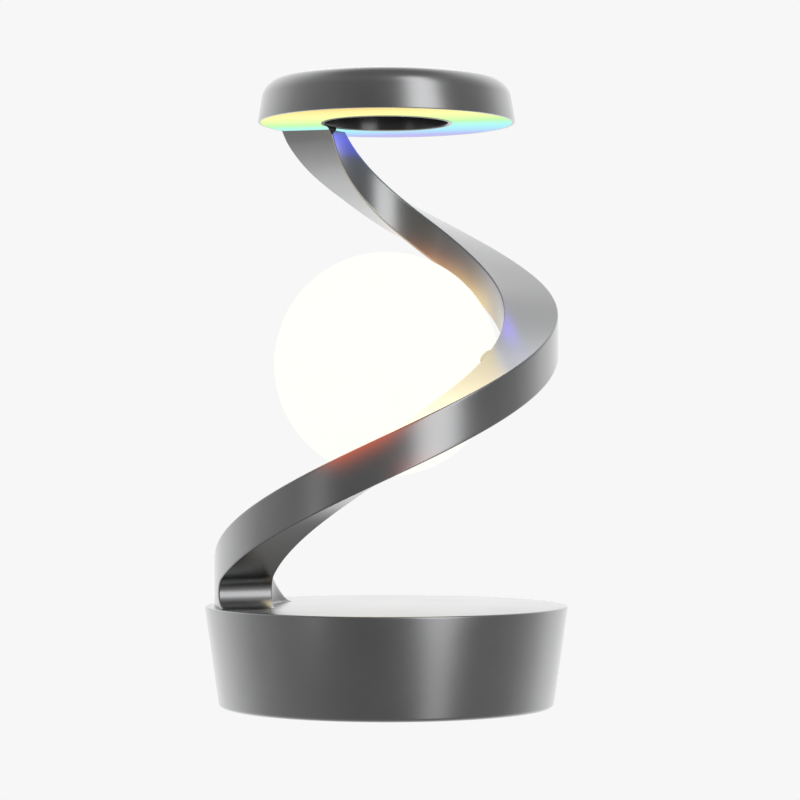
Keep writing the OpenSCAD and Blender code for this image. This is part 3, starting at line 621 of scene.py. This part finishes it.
class LAMP_OT_ring(LampPiece):
    """Make the ring's housing, with its rounded shoulder, and a thin black sheet in its hole that paints the shade
    inside it
    """

    bl_idname = "lamp.ring"
    bl_label = "Ring"

    def execute(self, context):
        s = context.scene.lamp_sizes
        slope = math.tan(s.ring_slope)
        roof = s.ring_height - s.ring_wall
        ledge = s.ring_radius - s.diffuser*slope - s.ring_wall/math.cos(s.ring_slope)
        inside = s.ring_radius - roof*slope - s.ring_wall/math.cos(s.ring_slope)
        near = s.ring_hole + s.ring_wall
        bm = spin_profile(
            [
                (s.ring_hole, -s.ring_lip), (s.ring_hole + s.ring_rim, -s.ring_lip),
                (s.ring_hole + s.ring_rim, s.diffuser),
                (near, s.diffuser), (near, roof), (inside, roof), (ledge, s.diffuser),
                (s.ring_radius - s.ring_rim, s.diffuser), (s.ring_radius - s.ring_rim, 0), (s.ring_radius, 0),
                (s.ring_radius - s.ring_height*slope, s.ring_height), (s.ring_hole, s.ring_height),
            ],
            s.turn_steps,
            [
                (0, s.ring_edge, 3), (5, s.ring_round - s.ring_wall, 8), (9, s.ring_edge, 3),
                (10, s.ring_round, 16), (11, s.hole_round, 6),
            ],
        )
        place_mesh(bm, Matrix.Translation((0, 0, s.ring_level)))
        make_piece("ring_body", bm, graphite(context), "stand", ["ring_housing"])
        # A thin black sheet lines the hole: painted shade inside the ring's hole
        bore = s.ring_hole - s.shade_sheet
        top = s.ring_height - s.hole_round
        low_end = s.ring_edge - s.ring_lip
        bm = spin_profile(
            [(bore, low_end), (s.ring_hole, low_end), (s.ring_hole, top), (bore, top)],
            s.turn_steps, [(0, s.shade_sheet/2, 3), (3, s.shade_sheet/2, 3)],
        )
        place_mesh(bm, Matrix.Translation((0, 0, s.ring_level)))
        make_piece("hole_sleeve", bm, sleeve_black(context), "stand", [])
        return {"FINISHED"}


class LAMP_OT_globe(LampPiece):
    """Make the globe, an opal shell with an opening for its hub"""

    bl_idname = "lamp.globe"
    bl_label = "Globe"

    def execute(self, context):
        s = context.scene.lamp_sizes
        radius = (high("globe_shade").z - low("globe_shade").z)/2
        bm = bmesh.new()
        bmesh.ops.create_uvsphere(bm, u_segments=128, v_segments=96, radius=radius)
        mouth = math.sqrt(radius**2 - s.hub_radius**2)
        bmesh.ops.bisect_plane(
            bm, geom=bm.verts[:] + bm.edges[:] + bm.faces[:], plane_co=(0, 0, mouth), plane_no=(0, 0, 1),
            clear_outer=True,
        )
        bmesh.ops.recalc_face_normals(bm, faces=bm.faces)
        bmesh.ops.solidify(bm, geom=bm.faces[:], thickness=s.globe_wall)
        place_mesh(bm, pivot_place(0))
        make_piece("globe_ball", bm, opal(context), "globe", ["globe_shade"])
        return {"FINISHED"}


class LAMP_OT_buttons(LampPiece):
    """Make the two buttons, with a shallow dish in each cap"""

    bl_idname = "lamp.buttons"
    bl_label = "Buttons"

    def execute(self, context):
        s = context.scene.lamp_sizes
        r, out = s.button_radius, s.button_out
        collar = r + s.collar_out
        for side, body in ((1, "power"), (-1, "colour")):
            bm = spin_profile(
                [
                    (0, out - s.button_dish), (0.6*r, out - 0.75*s.button_dish), (r - s.button_rim, out),
                    (r, out), (r, -s.collar_face), (collar, -s.collar_face), (collar, -s.collar_back),
                    (s.stem_radius, -s.collar_back), (s.stem_radius, -s.stem_end), (0, -s.stem_end),
                ],
                SMALL_TURN, [(3, s.button_round, 4)],
            )
            place_mesh(bm, button_place(s, side))
            make_piece(
                f"{body}_cap", bm, button_metal(context), f"{body}_key", [f"{body}_button"]
            )
        return {"FINISHED"}


# Finishes


class Finish:
    """A material under way: its node tree, its shader and its place on the piece."""

    def __init__(self, name):
        self.material = bpy.data.materials.new(name)
        self.material.use_nodes = True
        self.tree = self.material.node_tree
        self.shader = self.tree.nodes["Principled BSDF"]
        self.place = self.add("ShaderNodeTexCoord").outputs["Object"]

    def add(self, kind, inputs=None, **settings):
        """A node with settings, whose inputs are values or outputs of other nodes."""
        return add_node(self.tree, kind, inputs, **settings)

    def set(self, **inputs):
        """Values or links of the shader's inputs."""
        fill_inputs(self.tree, self.shader, {k.replace("_", " "): v for k, v in inputs.items()})
        return self

    def noise(self, scale, detail=2.0, stretch=None):
        """Noise in cells per metre, that can be stretched along an axis."""
        vector = self.place
        if stretch:
            vector = self.add("ShaderNodeMapping", {"Vector": vector, "Scale": stretch}).outputs["Vector"]
        inputs = {"Vector": vector, "Scale": scale, "Detail": detail}
        return self.add("ShaderNodeTexNoise", inputs).outputs["Fac"]

    def spread(self, factor, start, end):
        """A noise factor mapped to a range of values."""
        inputs = {"Value": factor, "From Min": 0.25, "From Max": 0.75, "To Min": start, "To Max": end}
        return self.add("ShaderNodeMapRange", inputs).outputs["Result"]

    def ramp(self, factor, stops, interpolation="LINEAR"):
        """A colour from a factor, by stops of a place and a colour."""
        node = self.add("ShaderNodeValToRGB", {"Fac": factor})
        fill_ramp(node.color_ramp, stops, interpolation)
        return node.outputs["Color"]

    def tint(self, factor, base, change):
        """A base colour that a noise factor darkens and lightens by a share."""
        return self.ramp(factor, [(0.3, shade(base, 1 - change)), (0.7, shade(base, 1 + change))])

    def bump(self, height, strength, distance):
        """Relief from a height."""
        inputs = {"Height": height, "Strength": strength, "Distance": distance}
        return self.add("ShaderNodeBump", inputs).outputs["Normal"]


def fill_inputs(tree, node, inputs):
    """Sets a node's inputs to values, or links them to outputs."""
    for key, value in inputs.items():
        if isinstance(value, bpy.types.NodeSocket):
            tree.links.new(value, node.inputs[key])
        else:
            node.inputs[key].default_value = value


def add_node(tree, kind, inputs=None, **settings):
    """A node with settings, whose inputs are values or outputs of other nodes."""
    node = tree.nodes.new(kind)
    for key, value in settings.items():
        setattr(node, key, value)
    fill_inputs(tree, node, inputs or {})
    return node


def fill_ramp(ramp, stops, interpolation="LINEAR"):
    """Sets a colour ramp's stops."""
    ramp.interpolation = interpolation
    while len(ramp.elements) < len(stops):
        ramp.elements.new(1.0)
    for element, (place, rgb) in zip(ramp.elements, stops):
        element.position = place
        element.color = (*rgb, 1.0)


def grey(value):
    """A neutral colour."""
    return (value, value, value)


def shade(rgb, factor):
    """A colour made lighter or darker."""
    return tuple(min(1.0, c*factor) for c in rgb)


def finish_maker(make):
    """Makes a finish once, and hands the same material out again."""
    made = []

    def hand_out(context):
        if not made:
            made.append(make(context).material)
        return made[0]
    return hand_out


@finish_maker
def graphite(context):
    """Satin graphite metal, bead blasted and anodised."""
    f = Finish("satin_graphite")
    rgb = tuple(context.scene.lamp_finish.graphite)
    blast = f.noise(2600, 3)
    cloud = f.noise(45, 3)
    return f.set(
        Base_Color=f.tint(cloud, rgb, 0.04), Metallic=1.0, Roughness=f.spread(cloud, 0.285, 0.325),
        Normal=f.bump(blast, 0.04, 0.00004),
    )


# Places from the ring's front to its rear, and the colours that it shows there
RING_BANDS = (
    (0.07, (1.0, 0.7, 0.22)), (0.14, (1.0, 0.88, 0.34)), (0.27, (0.99, 0.99, 0.42)),
    (0.41, (0.78, 0.98, 0.42)), (0.49, (0.55, 0.98, 0.45)), (0.58, (0.46, 0.98, 0.83)),
    (0.70, (0.42, 0.88, 1.0)), (0.80, (0.47, 0.68, 0.98)), (0.86, (0.51, 0.51, 0.9)),
    (0.95, (0.55, 0.52, 0.85)),
)


@finish_maker
def ring_light(context):
    """Frosted ring, lit from inside in bands of colour that run across it."""
    f = Finish("lit_ring")
    look = context.scene.lamp_finish
    way = (look.band_lean/look.band_span, 1/look.band_span, 0)
    across = f.add("ShaderNodeVectorMath", {0: f.place, 1: way}, operation="DOT_PRODUCT")
    along = f.add("ShaderNodeMath", {0: across.outputs["Value"], 1: 0.5}, operation="ADD").outputs["Value"]
    frost = f.noise(900, 2)
    return f.set(
        Base_Color=(*grey(0.02), 1), Specular_IOR_Level=0.0, Roughness=f.spread(frost, 0.4, 0.5),
        Emission_Color=f.ramp(along, RING_BANDS), Emission_Strength=look.ring_power,
        Normal=f.bump(frost, 0.1, 0.00003),
    )


@finish_maker
def button_metal(context):
    """Turned satin metal of the buttons."""
    f = Finish("turned_button")
    rgb = shade(tuple(context.scene.lamp_finish.graphite), 1.15)
    turned = f.noise(500, 2, (1, 1, 6))
    return f.set(
        Base_Color=f.tint(turned, rgb, 0.05), Metallic=1.0, Roughness=f.spread(turned, 0.24, 0.34),
        Normal=f.bump(turned, 0.05, 0.00003),
    )


def lit_skin(name, scale, detail, change, smooth, rough):
    """Maker of a white skin that the globe's light fills."""
    def make(context):
        f = Finish(name)
        look = context.scene.lamp_finish
        cloud = f.noise(scale, detail)
        return f.set(
            Base_Color=f.tint(cloud, grey(0.01), change), Roughness=f.spread(cloud, smooth, rough),
            Specular_IOR_Level=0.0, Emission_Color=f.tint(cloud, tuple(look.globe_light), 0.004),
            Emission_Strength=look.globe_power,
        )
    return finish_maker(make)


def metal(name, rgb, rough, scale, stretch):
    """Maker of a bare metal with marks drawn out along an axis."""
    def make(context):
        f = Finish(name)
        marks = f.noise(scale, 4, stretch)
        return f.set(
            Base_Color=f.tint(marks, rgb, 0.06), Metallic=1.0,
            Roughness=f.spread(marks, rough - 0.06, rough + 0.08), Normal=f.bump(marks, 0.08, 0.00004),
        )
    return finish_maker(make)


def polymer(name, rgb, rough, scale, relief, gloss=0.5):
    """Maker of a moulded plastic, rubber or foam with its grain."""
    def make(context):
        f = Finish(name)
        grain = f.noise(scale, 4)
        wide = f.noise(scale/20, 2)
        return f.set(
            Base_Color=f.tint(wide, rgb, 0.08), Roughness=f.spread(grain, rough - 0.06, rough + 0.06),
            Specular_IOR_Level=gloss, Normal=f.bump(grain, relief, 0.0001),
        )
    return finish_maker(make)


@finish_maker
def board(context):
    """Green solder mask with copper tracks under it."""
    f = Finish("solder_mask")
    tracks = f.add("ShaderNodeTexVoronoi", {"Vector": f.place, "Scale": 320.0}, distance="MANHATTAN")
    mask = f.ramp(tracks.outputs["Distance"], [(0.2, (0.012, 0.1, 0.045)), (0.45, (0.03, 0.17, 0.08))])
    return f.set(Base_Color=mask, Roughness=f.spread(f.noise(400, 2), 0.3, 0.42))


@finish_maker
def led(context):
    """Phosphor domes of the lamps."""
    f = Finish("phosphor")
    cloud = f.noise(800, 2)
    return f.set(
        Base_Color=f.tint(cloud, (0.85, 0.7, 0.25), 0.06), Roughness=f.spread(cloud, 0.25, 0.35),
        Emission_Color=(1.0, 0.85, 0.6, 1), Emission_Strength=1.5,
    )


opal = lit_skin("lit_opal", 60, 3, 0.02, 0.3, 0.36)
seal = lit_skin("white_seal", 300, 2, 0.03, 0.5, 0.6)
# Near-black finish of the sheet in the ring's hole: painted shade inside the hole, with a soft gloss
sleeve_black = polymer("sleeve_black", grey(0.004), 0.22, 1800, 0.01, 0.55)
# Near-black, almost unreflecting finish of the arm's toe: painted shade where the arm meets the hole
toe_black = polymer("toe_black", grey(0.006), 0.6, 1800, 0.02, 0.02)
FINISHES = {
    "graphite": graphite,
    "globe_light": opal,
    "ring_light": ring_light,
    "seal": seal,
    "button_metal": button_metal,
    "board": board,
    "led": led,
    "steel": metal("plated_steel", (0.6, 0.6, 0.62), 0.28, 700, (1, 1, 8)),
    "ballast_steel": metal("zinc_plate", (0.48, 0.49, 0.51), 0.4, 300, (1, 6, 1)),
    "bush_brass": metal("turned_brass", (0.72, 0.5, 0.2), 0.25, 900, (1, 1, 5)),
    "frame_aluminium": metal("plain_aluminium", (0.66, 0.67, 0.68), 0.38, 400, (5, 1, 1)),
    "black_plastic": polymer("black_plastic", (0.02, 0.02, 0.022), 0.5, 1800, 0.25),
    "rubber": polymer("foot_rubber", grey(0.025), 0.75, 1200, 0.4),
    "foam": polymer("foam_tape", grey(0.05), 0.9, 1500, 0.8),
    "battery_wrap": polymer("battery_wrap", (0.03, 0.1, 0.24), 0.35, 250, 0.1),
    "wire": polymer("wire_sleeve", (0.03, 0.03, 0.032), 0.55, 900, 0.15),
}


class LAMP_OT_finishes(LampPiece):
    """Give each solid that stays in view or inside its finish"""

    bl_idname = "lamp.finishes"
    bl_label = "Finishes"

    def execute(self, context):
        for entry in frame["record"]["subparts"]:
            materials = frame["nodes"][entry["node"]].data.materials
            materials.clear()
            materials.append(FINISHES[entry["material_slot"]](context))
        return {"FINISHED"}


# Studio


# Places from the room's front to its rear, and its brightness there
ROOM_STOPS = ((0.25, 0.6), (0.5, 0.9), (0.66, 1.6), (0.8, 2.1), (0.93, 1.9), (1.0, 1.7))

# Height of the light at the arm's upper end, just under the ring
SPILL_LEVEL = low("ring_housing").z - 0.0003

# Small lights that stand for the ring's own: place, direction that they face away from, width and length
SPILLS = (
    ("rear", (-0.004, 0.032, SPILL_LEVEL), (0, 0, 1), (0.034, 0.016)),
    ("wall", (-0.005, 0.031, 0.1896), (0.68, 0.72, 0.11), (0.016, 0.0062)),
    ("side", (0.0382, 0.0008, 0.1412), (0, -0.559, 0.829), (0.005, 0.012)),
)

# Way from the lamp to the tall soft box
STRIP_WAY = (0.662, -1.001, 0)

# Soft boxes and reflectors: way from the lamp, extra height, width and length, radiance
CARDS = (
    ("strip_box", STRIP_WAY, 0.95, (0.605, 2.2), 4.05),
    ("strip_foot", STRIP_WAY, -0.475, (0.34, 0.65), 1.7),
    ("upper_card", (0, 0.864, 0.828), 0, (0.42, 0.42), 1.3),
    ("lower_card", (-0.36, 0.9, -0.72), 0, (0.7, 0.7), 0.4),
    ("side_card", (-0.84, -0.852, -0.036), 0, (0.3, 0.3), 1.1),
)

# Glows of the globe: blur in pixels, and the spans along the lamp's axes over which each comes in
GLOWS = (
    ("front_glow", 31, {"Y": (0.0, -0.03), "X": (0.02, 0.0)}),
    ("rear_glow", 44, {"Y": (0.004, 0.02), "Z": (0.152, 0.138)}),
    ("top_glow", 38, {"Y": (0.004, 0.02), "Z": (0.138, 0.152)}),
)

# Pieces that show the globe's glow
GLOWING_METAL = "ribbon_arm,ribbon_cover,bush_tab,ring_body,base_body"


class LAMP_OT_stage(LampPiece):
    """Make the floor, the room, the lights and the camera"""

    bl_idname = "lamp.stage"
    bl_label = "Stage"

    def execute(self, context):
        studio = context.scene.lamp_studio
        self.make_floor(context, studio)
        self.make_room(context, studio)
        self.make_lamp_light(context)
        self.make_spills(context)
        self.make_cards(context)
        self.make_camera(context, studio)
        self.make_glow(context)
        view = context.scene.view_settings
        view.view_transform = "Standard"
        view.look = "None"
        return {"FINISHED"}

    def make_floor(self, context, studio):
        """Pale floor as bright as the backdrop, which leaves the metal's reflections alone."""
        material = bpy.data.materials.new("pale_floor")
        material.use_nodes = True
        tree = material.node_tree
        tree.nodes.remove(tree.nodes["Principled BSDF"])
        glow = add_node(tree, "ShaderNodeEmission", {"Color": (*grey(studio.ground), 1), "Strength": 1.0})
        tree.links.new(glow.outputs["Emission"], tree.nodes["Material Output"].inputs["Surface"])
        bm = bmesh.new()
        bmesh.ops.create_circle(bm, cap_ends=True, segments=FLOOR_TURN, radius=studio.floor_radius)
        mesh = bpy.data.meshes.new("floor")
        bm.to_mesh(mesh)
        bm.free()
        mesh.materials.append(material)
        floor = bpy.data.objects.new("floor", mesh)
        context.scene.collection.objects.link(floor)
        floor.visible_glossy = False
        floor.visible_shadow = False

    def make_room(self, context, studio):
        """A room that is dim in front of the lamp and bright beside and behind it."""
        world = bpy.data.worlds.new("studio_room")
        context.scene.world = world
        world.use_nodes = True
        tree = world.node_tree
        way = add_node(tree, "ShaderNodeTexCoord").outputs["Generated"]
        back = add_node(tree, "ShaderNodeVectorMath", {0: way, 1: (0, 0.5, 0)}, operation="DOT_PRODUCT")
        back = add_node(tree, "ShaderNodeMath", {0: back.outputs["Value"], 1: 0.5}, operation="ADD")
        round_room = add_node(tree, "ShaderNodeValToRGB", {"Fac": back.outputs["Value"]})
        stops = [(0.0, grey(studio.front))] + [(place, grey(value)) for place, value in ROOM_STOPS]
        fill_ramp(round_room.color_ramp, stops, "EASE")
        lift = add_node(tree, "ShaderNodeSeparateXYZ", {"Vector": way}).outputs
        near = self.fade(tree, lift["Y"], 0.25, 0.6, studio.side_dim, 0.0)
        right = self.fade(tree, lift["X"], 0.35, 0.75)
        dimmed = add_node(tree, "ShaderNodeMath", {0: near, 1: right}, operation="MULTIPLY")
        kept = add_node(tree, "ShaderNodeMath", {0: 1.0, 1: dimmed.outputs["Value"]}, operation="SUBTRACT")
        round_room = add_node(
            tree, "ShaderNodeVectorMath", {0: round_room.outputs["Color"], "Scale": kept.outputs["Value"]},
            operation="SCALE",
        )
        above = self.fade(tree, lift["Z"], 0.78, 0.95)
        room = add_node(
            tree, "ShaderNodeMix",
            {0: above, 6: round_room.outputs["Vector"], 7: (*grey(studio.overhead), 1)}, data_type="RGBA",
        )
        lit = tree.nodes["Background"]
        fill_inputs(tree, lit, {"Color": room.outputs[2], "Strength": 1.0})
        seen = add_node(tree, "ShaderNodeBackground", {"Color": (*grey(studio.ground), 1)})
        ray = add_node(tree, "ShaderNodeLightPath").outputs["Is Camera Ray"]
        both = add_node(tree, "ShaderNodeMixShader", {0: ray, 1: lit.outputs[0], 2: seen.outputs[0]})
        tree.links.new(both.outputs[0], tree.nodes["World Output"].inputs["Surface"])

    def fade(self, tree, value, start, end, first=0.0, last=1.0):
        """Smooth change from first to last while a value goes from start to end."""
        return add_node(
            tree, "ShaderNodeMapRange",
            {"Value": value, "From Min": start, "From Max": end, "To Min": first, "To Max": last},
            interpolation_type="SMOOTHSTEP",
        ).outputs["Result"]

    def make_lamp_light(self, context):
        """Light of the globe, as a sphere just outside it."""
        look = context.scene.lamp_finish
        light = bpy.data.lights.new("globe_lamp", "POINT")
        light.shadow_soft_size = (high("globe_shade").z - low("globe_shade").z)/2 + look.lamp_gap
        light.use_soft_falloff = False
        light.color = look.lamp_light
        light.energy = look.lamp_power*(2*math.pi*light.shadow_soft_size)**2
        lamp = bpy.data.objects.new("globe_lamp", light)
        lamp.location = pivot_place(0).translation
        lamp.visible_camera = False
        context.scene.collection.objects.link(lamp)

    def make_spills(self, context):
        """Blue and violet light of the ring's rear, on the arm's inner wall and its upper face."""
        look = context.scene.lamp_finish
        arm = bpy.data.collections.new("lit_by_spill")
        for name in ("ribbon_arm", "ribbon_cover"):
            arm.objects.link(bpy.data.objects[name])
        for name, place, way, size in SPILLS:
            tint, power = getattr(look, f"{name}_light"), getattr(look, f"{name}_power")
            spill = self.make_area(context, f"{name}_spill", Vector(place), Vector(way), size, tint, power)
            spill.visible_camera = False
            spill.light_linking.receiver_collection = arm

    def make_cards(self, context):
        """Tall soft box to the right of the camera, and weak reflectors beside the lamp and behind it."""
        for name, way, level, size, power in CARDS:
            place = Vector(way) + Vector((0, 0, level))
            self.make_area(context, name, place, Vector(way), size, (1, 1, 1), power)

    def make_area(self, context, name, place, way, size, tint, radiance):
        """Rectangular light at a place, that shines against a direction."""
        light = bpy.data.lights.new(name, "AREA")
        light.shape = "RECTANGLE"
        light.size, light.size_y = size
        light.color = tint
        light.energy = radiance*size[0]*size[1]*math.pi
        lamp = bpy.data.objects.new(name, light)
        lamp.location = place
        lamp.rotation_euler = way.to_track_quat("Z", "Y").to_euler()
        context.scene.collection.objects.link(lamp)
        return lamp

    def make_glow(self, context):
        """Glow of the globe over the edges of the metal in front of it and behind it."""
        scene = context.scene
        layer = scene.view_layers[0]
        layer.use_pass_cryptomatte_object = True
        layer.use_pass_position = True
        scene.use_nodes = True
        tree = scene.node_tree
        tree.nodes.clear()
        layers = add_node(tree, "CompositorNodeRLayers")
        globe, metal = [
            add_node(
                tree, "CompositorNodeCryptomatteV2", {"Image": layers.outputs["Image"]},
                layer_name=f"{layer.name}.CryptoObject", matte_id=names,
            ).outputs["Matte"]
            for names in ("globe_ball", GLOWING_METAL)
        ]
        place = add_node(tree, "CompositorNodeSeparateXYZ", {"Vector": layers.outputs["Position"]})
        image = layers.outputs["Image"]
        for glow, size, spans in GLOWS:
            soft = add_node(
                tree, "CompositorNodeBlur", {"Image": globe, "Size": (size, size)}, filter_type="GAUSS"
            )
            factors = [metal, soft.outputs["Image"]]
            for axis, (start, end) in spans.items():
                inputs = {"Value": place.outputs[axis], "From Min": start, "From Max": end}
                side = add_node(tree, "CompositorNodeMapRange", inputs, use_clamp=True)
                factors.append(side.outputs["Value"])
            share = factors[0]
            for factor in factors[1:]:
                share = add_node(
                    tree, "CompositorNodeMath", {0: share, 1: factor}, operation="MULTIPLY"
                ).outputs["Value"]
            tint = (*getattr(scene.lamp_finish, glow), 1)
            image = add_node(
                tree, "CompositorNodeMixRGB", {0: share, 1: image, 2: tint}, blend_type="ADD"
            ).outputs["Image"]
        add_node(tree, "CompositorNodeComposite", {"Image": image})

    def make_camera(self, context, studio):
        """Camera at the height of the globe's lower half."""
        data = bpy.data.cameras.new("camera")
        data.lens = studio.lens
        data.clip_start = 0.01
        data.clip_end = 50
        camera = bpy.data.objects.new("camera", data)
        camera.location = (studio.aside, -studio.distance, studio.eye)
        camera.rotation_euler = (math.pi/2 + studio.tilt, 0, 0)
        context.scene.collection.objects.link(camera)
        context.scene.camera = camera


class LAMP_PT_sidebar(bpy.types.Panel):
    """Lists the lamp's pieces and settings"""

    bl_idname = "LAMP_PT_sidebar"
    bl_label = "Ribbon Lamp"
    bl_space_type = "VIEW_3D"
    bl_region_type = "UI"
    bl_category = "Lamp"

    def draw(self, context):
        for step in STEPS:
            self.layout.operator(step.bl_idname)
        for group in GROUPS:
            for name in GROUPS[group].__annotations__:
                self.layout.prop(getattr(context.scene, group), name)


STEPS = (
    LAMP_OT_base, LAMP_OT_arm, LAMP_OT_ring, LAMP_OT_globe, LAMP_OT_buttons, LAMP_OT_finishes, LAMP_OT_stage,
)
GROUPS = {"lamp_sizes": LampSizes, "lamp_finish": LampFinish, "lamp_studio": LampStudio}


def register():
    """Registers the groups, the operators and the panel."""
    for name, group in GROUPS.items():
        bpy.utils.register_class(group)
        setattr(bpy.types.Scene, name, PointerProperty(type=group))
    for step in STEPS + (LAMP_PT_sidebar,):
        bpy.utils.register_class(step)


def unregister():
    """Takes them out again."""
    for step in STEPS + (LAMP_PT_sidebar,):
        bpy.utils.unregister_class(step)
    for name, group in GROUPS.items():
        delattr(bpy.types.Scene, name)
        bpy.utils.unregister_class(group)


def main():
    """Registers the add-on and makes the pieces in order."""
    register()
    for step in STEPS:
        getattr(bpy.ops.lamp, step.bl_idname.split(".")[1])()


if __name__ == "__main__":
    main()
